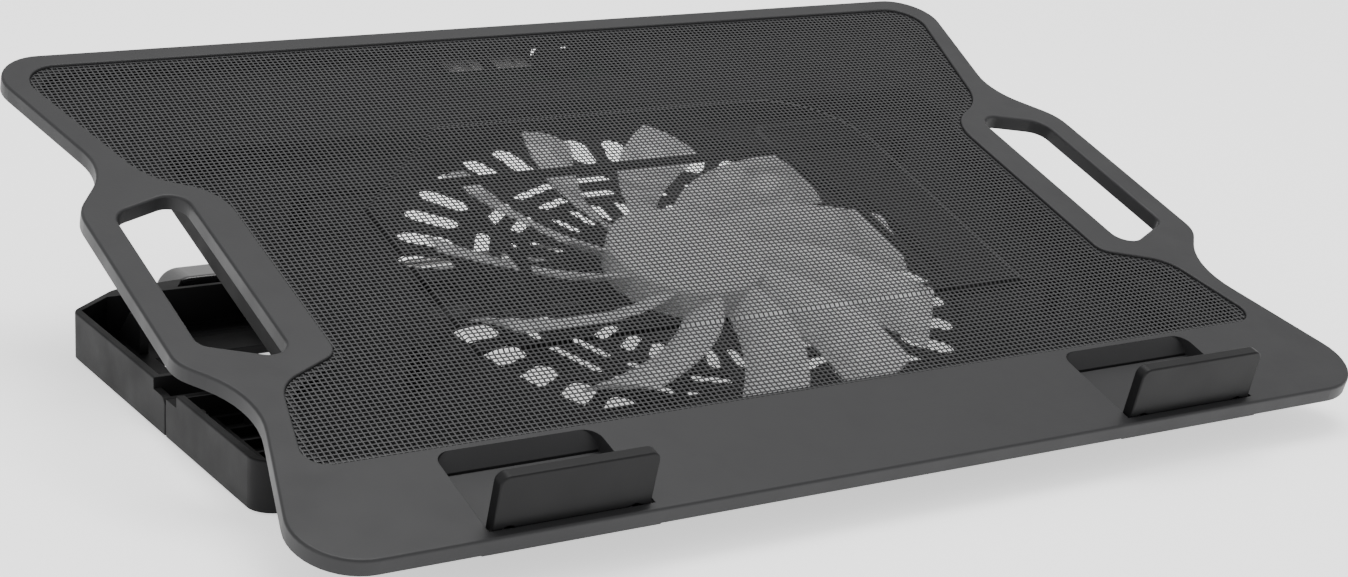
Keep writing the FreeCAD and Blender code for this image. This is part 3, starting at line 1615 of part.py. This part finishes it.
def make_feet():
    """Four rubber feet under the corners of the base."""
    places = {
        "foot_front_left": ("-foot_x", "foot_front_y"),
        "foot_front_right": ("foot_x", "foot_front_y"),
        "foot_rear_left": ("-foot_x", "foot_rear_y"),
        "foot_rear_right": ("foot_x", "foot_rear_y"),
    }
    for name, (x, y) in places.items():
        body = new_body(name)
        sketch = sketch_on(body)
        circle(sketch, "0", "0", "foot_radius")
        pad(body, sketch, "base_lift")
        fillet(body, "foot_round", lies_at(0))
        keep(body, ON_BASE * moved(value(x), value(y), 0))


# ---- fasteners -----------------------------------------------------------------------------------------------


def screw(length, place):
    """A pan-head screw whose shank points up from its head."""
    tall = value("screw_head_tall")
    head = Part.makeCylinder(value("screw_head_radius"), tall, vector(0, 0, -tall))
    head = head.makeFillet(value("screw_head_round"), [edge for edge in head.Edges if lies_at(-tall)(edge)])
    long, wide = value("screw_cross"), value("screw_cross_width")
    cross = Part.makeBox(wide, long, tall / 2, vector(-wide / 2, -long / 2, -tall))
    cross = cross.fuse(Part.makeBox(long, wide, tall / 2, vector(-long / 2, -wide / 2, -tall)))
    shank = Part.makeCylinder(value("screw_radius - fit_gap"), length)
    shape = head.fuse(shank).cut(cross)
    shape.Placement = place
    return shape


def make_screws():
    """Each set of identical screws is one node."""
    length = value("pan_drop - screw_skin - merge / 2")
    low = -value("pan_drop")
    housing = document.addObject("Part::Feature", "housing_screws")
    housing.Shape = Part.makeCompound(
        [
            screw(length, moved(sign * value(x), value(y), low))
            for x, y in SCREW_PLACES
            for sign in (-1, 1)
        ]
    )
    keep(housing, ON_TRAY)
    joint = document.addObject("Part::Feature", "base_screws")
    rear = value("seam_y + seam_gap + seam_wall + screw_play")
    height = value("base_lift + join_screw_height")
    joint.Shape = Part.makeCompound(
        [
            screw(value("join_screw_long"), moved(sign * value("foot_x"), rear, height) * turned(90))
            for sign in (-1, 1)
        ]
    )
    keep(joint, ON_BASE)


# ---- build, check and write ----------------------------------------------------------------------------------

make_top_frame()
make_mesh_panel()
make_mesh_support()
make_bottom_housing()
make_impeller()
make_motor()
make_electronics()
make_fan_lead()
make_flap("left", -1)
make_flap("right", 1)
make_base_front()
make_base_rear()
make_rear_bar()
make_hinge_pins()
make_props()
make_feet()
make_screws()
document.recompute()

for item in document.Objects:
    if "Invalid" in item.State or "Error" in item.State:
        raise RuntimeError(f"{item.Name} failed: {item.State}")
for node in nodes:
    if node.Shape.isNull() or not node.Shape.isValid():
        raise RuntimeError(f"{node.Label} has no valid shape")

os.makedirs("parts", exist_ok=True)
for node in nodes:
    node.Shape.exportStep(f"parts/{node.Label}.step")
    box = node.Shape.BoundBox
    print(f"{node.Label:16s} {len(node.Shape.Solids)} solid(s) {box.XLength:7.1f} {box.YLength:7.1f} {box.ZLength:6.1f}")
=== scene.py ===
"""Looks of the laptop cooling pad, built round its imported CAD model. Everything is in metres."""

import json
import math

import bmesh
import bpy
from mathutils import Matrix, Vector


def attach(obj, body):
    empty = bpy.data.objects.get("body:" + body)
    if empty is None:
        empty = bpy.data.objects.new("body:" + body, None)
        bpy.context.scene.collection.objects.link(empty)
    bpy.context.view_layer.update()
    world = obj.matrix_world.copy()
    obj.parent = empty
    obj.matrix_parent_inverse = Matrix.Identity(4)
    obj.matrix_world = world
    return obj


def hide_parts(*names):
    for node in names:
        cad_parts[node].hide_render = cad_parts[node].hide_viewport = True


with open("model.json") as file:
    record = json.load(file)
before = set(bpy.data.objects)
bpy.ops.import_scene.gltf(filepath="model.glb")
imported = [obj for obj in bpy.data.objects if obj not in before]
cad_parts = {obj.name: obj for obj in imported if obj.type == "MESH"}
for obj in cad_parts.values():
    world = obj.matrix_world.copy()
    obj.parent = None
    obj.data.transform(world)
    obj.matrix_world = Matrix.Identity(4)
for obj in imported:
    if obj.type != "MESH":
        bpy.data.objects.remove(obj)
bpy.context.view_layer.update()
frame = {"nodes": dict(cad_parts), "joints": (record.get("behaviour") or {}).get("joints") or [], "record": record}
nodes = frame["nodes"]
MM = 0.001

# The tray's own plane, from the record: its normal is the fan's axis.
joints = {joint["name"]: joint for joint in frame["joints"]}
TRAY_UP = Vector(joints["fan_spin"]["axis"]).normalized()
TRAY_BACK = TRAY_UP.cross(Vector((1, 0, 0))).normalized()
FAN_CENTRE = Vector(joints["fan_spin"]["pos_m"])


# ---- materials ---------------------------------------------------------------------------------------


# Noise scales of moulded plastic: the flow marks across a piece, and the marks of handling.
FLOW_SCALE = 14
HANDLED_SCALE = 60
ROUGHNESS_SPREAD = 0.06
BEVEL_SAMPLES = 4
COAT_ROUGHNESS = 0.08
# The fine lines in bare metal: how dark and light, and how polished and dull, they make it.
LINE_TONES = (0.85, 1.1)
LINE_POLISH = 0.08
LINE_DULL = 0.1
FAN_ALPHA = 0.72


def new_material(name):
    """A material with its node tree and its shader."""
    material = bpy.data.materials.new(name)
    material.use_nodes = True
    tree = material.node_tree
    return material, tree, tree.nodes["Principled BSDF"]


def add(tree, kind, **inputs):
    """A node with some of its inputs set or linked by name."""
    node = tree.nodes.new(kind)
    for name, value in inputs.items():
        socket = node.inputs[name.replace("_", " ")]
        if isinstance(value, bpy.types.NodeSocket):
            tree.links.new(value, socket)
        else:
            socket.default_value = value
    return node


def noise(tree, scale, detail=2.0, stretch=(1, 1, 1)):
    """Noise in the object's own space, so that it is the same size everywhere."""
    place = add(tree, "ShaderNodeTexCoord").outputs["Object"]
    if stretch != (1, 1, 1):
        place = add(tree, "ShaderNodeMapping", Vector=place, Scale=stretch).outputs["Vector"]
    return add(tree, "ShaderNodeTexNoise", Vector=place, Scale=scale, Detail=detail).outputs["Fac"]


def spread(tree, value, low, high, start=0.3, end=0.7):
    """Stretch a noise value, which mostly lies between start and end, to a range."""
    node = tree.nodes.new("ShaderNodeMapRange")
    for name, number in (("From Min", start), ("From Max", end), ("To Min", low), ("To Max", high)):
        node.inputs[name].default_value = number
    tree.links.new(value, node.inputs["Value"])
    return node.outputs["Result"]


def shade(tree, colour, value, low, high):
    """A colour that gets darker and lighter with a value."""
    node = tree.nodes.new("ShaderNodeMix")
    node.data_type = "RGBA"
    node.inputs["A"].default_value = [channel * low for channel in colour] + [1]
    node.inputs["B"].default_value = [channel * high for channel in colour] + [1]
    tree.links.new(spread(tree, value, 0, 1), node.inputs["Factor"])
    return node.outputs["Result"]


def moulded(name, colour, roughness, grain=1400, depth=0.02, specular=0.5, edge=0.35, tone=0.1, coat=0.0):
    """Moulded plastic: spark-eroded grain, faint flow marks, softly rounded edges."""
    material, tree, shader = new_material(name)
    flow = noise(tree, FLOW_SCALE, detail=3)
    tree.links.new(shade(tree, colour, flow, 1 - tone, 1 + tone), shader.inputs["Base Color"])
    handled = noise(tree, HANDLED_SCALE, detail=4)
    worn = spread(tree, handled, roughness - ROUGHNESS_SPREAD, roughness + ROUGHNESS_SPREAD)
    tree.links.new(worn, shader.inputs["Roughness"])
    rounded = add(tree, "ShaderNodeBevel", Radius=edge * MM)
    rounded.samples = BEVEL_SAMPLES
    texture = noise(tree, grain)
    bump = add(
        tree,
        "ShaderNodeBump",
        Strength=1.0,
        Distance=depth * MM,
        Height=texture,
        Normal=rounded.outputs["Normal"],
    )
    tree.links.new(bump.outputs["Normal"], shader.inputs["Normal"])
    shader.inputs["Specular IOR Level"].default_value = specular
    shader.inputs["Coat Weight"].default_value = coat
    shader.inputs["Coat Roughness"].default_value = COAT_ROUGHNESS
    return material


def metal(name, colour, roughness, stretch=(1, 1, 1), scale=500, depth=0.004):
    """Bare metal with fine drawing or turning lines."""
    material, tree, shader = new_material(name)
    shader.inputs["Metallic"].default_value = 1.0
    lines = noise(tree, scale, detail=3, stretch=stretch)
    tree.links.new(shade(tree, colour, lines, *LINE_TONES), shader.inputs["Base Color"])
    polish = spread(tree, lines, roughness - LINE_POLISH, roughness + LINE_DULL)
    tree.links.new(polish, shader.inputs["Roughness"])
    bump = add(tree, "ShaderNodeBump", Strength=1.0, Distance=depth * MM, Height=lines)
    tree.links.new(bump.outputs["Normal"], shader.inputs["Normal"])
    return material


MATERIALS = {
    "frame_plastic": moulded("frame_plastic", (0.021, 0.021, 0.022), 0.46, specular=0.24, tone=0.03),
    "shell_plastic": moulded("shell_plastic", (0.008, 0.008, 0.0084), 0.55, specular=0.12, tone=0.03),
    # housing_plastic is nearly black: its colour is painted shade for the hollow under the mesh.
    "housing_plastic": moulded("housing_plastic", (0.0055, 0.0055, 0.0058), 0.6, specular=0.08, tone=0.03),
    "moving_plastic": moulded("moving_plastic", (0.008, 0.008, 0.0084), 0.42, specular=0.14, tone=0.03),
    "bar_plastic": moulded("bar_plastic", (0.014, 0.014, 0.015), 0.2, depth=0.004, specular=0.4, coat=0.5),
    "mesh_metal": moulded(
        "mesh_metal", (0.024, 0.024, 0.0252), 0.34, grain=3000, depth=0.01, specular=0.35, edge=0.08
    ),
    "fan_plastic": moulded("fan_plastic", (0.92, 0.92, 0.93), 0.4, grain=1100, depth=0.01, tone=0.03),
    "control_plastic": moulded("control_plastic", (0.04, 0.04, 0.045), 0.5),
    "lead_rubber": moulded("lead_rubber", (0.02, 0.02, 0.02), 0.6),
    "foot_rubber": moulded("foot_rubber", (0.022, 0.022, 0.022), 0.75, grain=900, depth=0.03),
    "magnet": moulded("magnet", (0.06, 0.057, 0.055), 0.6, grain=2000),
    "board": moulded("board", (0.004, 0.012, 0.007), 0.3, depth=0.004, coat=0.3),
    "steel": metal("steel", (0.58, 0.57, 0.56), 0.28, stretch=(1, 0.1, 1)),
    "core_steel": metal("core_steel", (0.35, 0.35, 0.37), 0.35, stretch=(1, 1, 6), scale=900),
    "sleeve_brass": metal("sleeve_brass", (0.72, 0.5, 0.22), 0.35),
    "winding_copper": metal("winding_copper", (0.78, 0.33, 0.14), 0.3, stretch=(1, 1, 8), scale=700),
}
# The fan is moulded in a smoky plastic that lets some light through.
fan_shader = MATERIALS["fan_plastic"].node_tree.nodes["Principled BSDF"]
fan_shader.inputs["Alpha"].default_value = FAN_ALPHA

for part in frame["record"]["subparts"]:
    for holder in nodes[part["node"]].material_slots:
        holder.material = MATERIALS[part["material_slot"]]
# The pieces that show through the mesh get a blacker colour than the rest of the shell: painted shade, standing in
# for the shade that falls on them under the mesh.
for node in ("bottom_housing", "mesh_support"):
    for holder in nodes[node].material_slots:
        holder.material = MATERIALS["housing_plastic"]


# ---- mesh of the tray --------------------------------------------------------------------------------

# Points closer than WELD, in metres, are one point. A face lies level in the tray when the cosine of the angle
# between its normal and the tray's is above LEVEL.
WELD = 1e-6
LEVEL = 0.99
# Tray plane coordinates: across the tray, back along it and up from it, with the fan's axis at 0, 0.
TO_TRAY = Matrix(((1, 0, 0), TRAY_BACK, TRAY_UP))


def tray_place(point):
    """A point of the row frame in tray plane coordinates."""
    return TO_TRAY @ (point - FAN_CENTRE)


def row_place(across, back, up):
    """A point in tray plane coordinates in the row frame."""
    return FAN_CENTRE + Vector((1, 0, 0)) * across + TRAY_BACK * back + TRAY_UP * up


def top_outline(node):
    """The outline of a flat node's top face, in order, and its height, in tray plane coordinates."""
    shape = bmesh.new()
    shape.from_mesh(nodes[node].data)
    bmesh.ops.remove_doubles(shape, verts=shape.verts, dist=WELD)
    top = {face for face in shape.faces if face.normal.dot(TRAY_UP) > LEVEL}
    rim = [edge for edge in shape.edges if len([face for face in edge.link_faces if face in top]) == 1]
    follows = {}
    for edge in rim:
        for one, other in (edge.verts, reversed(edge.verts)):
            follows.setdefault(one, []).append(other)
    start = rim[0].verts[0]
    ordered, here, before = [start], follows[start][0], start
    while here != start:
        ordered.append(here)
        here, before = next(v for v in follows[here] if v != before), here
    places = [tray_place(vertex.co) for vertex in ordered]
    shape.free()
    return [(place.x, place.y) for place in places], places[0].z


def crossings(outline, axis, level):
    """Where a line at one level of one axis crosses the outline, in order along the other axis."""
    found = []
    for one, other in zip(outline, outline[1:] + outline[:1]):
        if (one[axis] > level) != (other[axis] > level):
            share = (level - one[axis]) / (other[axis] - one[axis])
            found.append(one[1 - axis] + share * (other[1 - axis] - one[1 - axis]))
    return sorted(found)


# The mesh: hole pitch, and each bar's width, thickness, edge chamfer and shortest length.
PITCH = 1.78 * MM
BAR = 0.56 * MM
SHEET = 0.22 * MM
CHAMFER = 0.08 * MM
SHORTEST_BAR = 2 * BAR
# The bars that run along the tray lie a hair below those across it, so that no two faces coincide.
LOWER_LAYER = 0.01 * MM
# The mesh lies sunk below the plain panel's top, and its pressed field stands up from it over a ramp.
SUNK = 0.35 * MM
PRESSED = 0.7 * MM
RAMP = 1.1 * MM
RAMP_STEP = 0.6 * MM
# The pressed field over the fan: left, right, front and rear edges, and its two different rear corners.
FIELD_LEFT, FIELD_RIGHT = -101 * MM, 100 * MM
FIELD_FRONT, FIELD_REAR = -49 * MM, 76.5 * MM
CUT_CORNER = 45 * MM
ROUND_CORNER = 34 * MM


def field_depth(x, y):
    """How far a point lies inside the pressed field, negative outside."""
    inside = min(x - FIELD_LEFT, FIELD_RIGHT - x, y - FIELD_FRONT, FIELD_REAR - y)
    slant = ((x - FIELD_LEFT) + (FIELD_REAR - y) - CUT_CORNER) * math.sqrt(0.5)
    inside = min(inside, slant)
    from_corner = (x - (FIELD_RIGHT - ROUND_CORNER), y - (FIELD_REAR - ROUND_CORNER))
    if min(from_corner) > 0:
        inside = min(inside, ROUND_CORNER - math.hypot(*from_corner))
    return inside


def relief(x, y):
    """Height of the pressed field above the rest of the mesh."""
    share = min(max(field_depth(x, y) / RAMP + 0.5, 0), 1)
    return PRESSED * share * share * (3 - 2 * share)


def stations(place, start, end):
    """Places along a bar where its height has to be known: its ends, and closely wherever it rises."""
    steps = max(2, int((end - start) / RAMP_STEP))
    marks = [start + (end - start) * number / steps for number in range(steps + 1)]
    heights = [relief(*place(mark)) for mark in marks]
    kept = [0]
    for index in range(1, steps):
        if not heights[index - 1] == heights[index] == heights[index + 1]:
            kept.append(index)
    kept.append(steps)
    return [(marks[index], heights[index]) for index in kept]


def add_bar(shape, axis, level, start, end, top):
    """One bar of the mesh: a strip with chamfered top edges that follows the relief."""

    def place(mark):
        return (mark, level) if axis == 1 else (level, mark)

    half = BAR / 2
    profile = [
        (-half, -SHEET),
        (half, -SHEET),
        (half, -CHAMFER),
        (half - CHAMFER, 0),
        (CHAMFER - half, 0),
        (-half, -CHAMFER),
    ]
    rings = []
    for mark, height in stations(place, start, end):
        x, y = place(mark)
        ring = []
        for side, drop in profile:
            across = (x, y + side) if axis == 1 else (x - side, y)
            ring.append(shape.verts.new(row_place(*across, top + height + drop)))
        rings.append(ring)
    count = len(profile)
    for one, other in zip(rings, rings[1:]):
        for index in range(count):
            following = (index + 1) % count
            shape.faces.new((one[index], other[index], other[following], one[following]))
    shape.faces.new(rings[0])
    shape.faces.new(reversed(rings[-1]))


def make_mesh_bars(name, axis, lower):
    """All the bars of the tray's mesh that run one way."""
    outline, top = top_outline("mesh_panel")
    reach = max(abs(point[axis]) for point in outline)
    shape = bmesh.new()
    count = int(reach / PITCH)
    for number in range(-count, count + 1):
        level = number * PITCH
        ends = crossings(outline, axis, level)
        for start, end in zip(ends[::2], ends[1::2]):
            if end - start > SHORTEST_BAR:
                add_bar(shape, axis, level, start, end, top - SUNK - lower)
    bmesh.ops.recalc_face_normals(shape, faces=shape.faces)
    mesh = bpy.data.meshes.new(name)
    shape.to_mesh(mesh)
    shape.free()
    bars = bpy.data.objects.new(name, mesh)
    bpy.context.scene.collection.objects.link(bars)
    mesh.materials.append(MATERIALS["mesh_metal"])
    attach(bars, "tray")
    return bars


across_bars = make_mesh_bars("mesh_bars_across", 1, 0)
make_mesh_bars("mesh_bars_along", 0, LOWER_LAYER)
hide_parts("mesh_panel")


# ---- stage, light and camera -------------------------------------------------------------------------

FLOOR_HALF = 6.0
FLOOR_GREY = (0.86, 0.86, 0.86)
FLOOR_CLOUD_SCALE = 3
FLOOR_GLOW = 1.0
WORLD_STRENGTH = 0.95
WHITE = (1, 1, 1, 1)
PAD_MIDDLE = (0, 0, 0.05)
LIGHT_SIZE = 1.0

floor_mesh = bpy.data.meshes.new("floor")
floor_corners = [(x * FLOOR_HALF, y * FLOOR_HALF, 0) for x, y in ((-1, -1), (1, -1), (1, 1), (-1, 1))]
floor_mesh.from_pydata(floor_corners, [], [(0, 1, 2, 3)])
floor = bpy.data.objects.new("floor", floor_mesh)
bpy.context.scene.collection.objects.link(floor)
floor_material, floor_tree, floor_shader = new_material("pale_floor")
floor_clouds = noise(floor_tree, FLOOR_CLOUD_SCALE)
floor_colour = shade(floor_tree, FLOOR_GREY, floor_clouds, 0.99, 1.01)
floor_tree.links.new(floor_colour, floor_shader.inputs["Base Color"])
floor_shader.inputs["Emission Color"].default_value = WHITE
floor_shader.inputs["Emission Strength"].default_value = FLOOR_GLOW
floor_shader.inputs["Roughness"].default_value = 0.9
floor_shader.inputs["Specular IOR Level"].default_value = 0.1
floor_mesh.materials.append(floor_material)

world = bpy.data.worlds.new("studio")
bpy.context.scene.world = world
world.use_nodes = True
background = world.node_tree.nodes["Background"]
background.inputs["Color"].default_value = WHITE
background.inputs["Strength"].default_value = WORLD_STRENGTH


def add_area_light(name, place, target, size, power):
    """A soft square light that faces a point."""
    data = bpy.data.lights.new(name, "AREA")
    data.size = size
    data.energy = power
    light = bpy.data.objects.new(name, data)
    bpy.context.scene.collection.objects.link(light)
    light.location = place
    light.rotation_euler = (Vector(target) - Vector(place)).to_track_quat("-Z", "Y").to_euler()


add_area_light("top_light", (0.2, 0.1, 1.6), PAD_MIDDLE, LIGHT_SIZE, power=22)
add_area_light("left_light", (-1.4, -0.6, 0.9), PAD_MIDDLE, LIGHT_SIZE, power=5)

# The camera's place, the directions of its right and upper sides, and its lens and film width in millimetres.
CAMERA_PLACE = Vector((-0.4359, -0.681, 0.2767))
CAMERA_RIGHT = Vector((0.8498, -0.5243, 0.0527))
CAMERA_UP = Vector((0.1098, 0.2737, 0.9555))
CAMERA_LENS = 69.11
CAMERA_FILM = 36
CAMERA_NEAREST = 0.01
camera_data = bpy.data.cameras.new("camera")
camera_data.lens = CAMERA_LENS
camera_data.sensor_width = CAMERA_FILM
camera_data.clip_start = CAMERA_NEAREST
camera = bpy.data.objects.new("camera", camera_data)
bpy.context.scene.collection.objects.link(camera)
right = CAMERA_RIGHT.normalized()
back = right.cross(CAMERA_UP).normalized()
up = back.cross(right)
camera_turn = Matrix((right, up, back)).transposed().to_4x4()
camera.matrix_world = Matrix.Translation(CAMERA_PLACE) @ camera_turn
bpy.context.scene.camera = camera
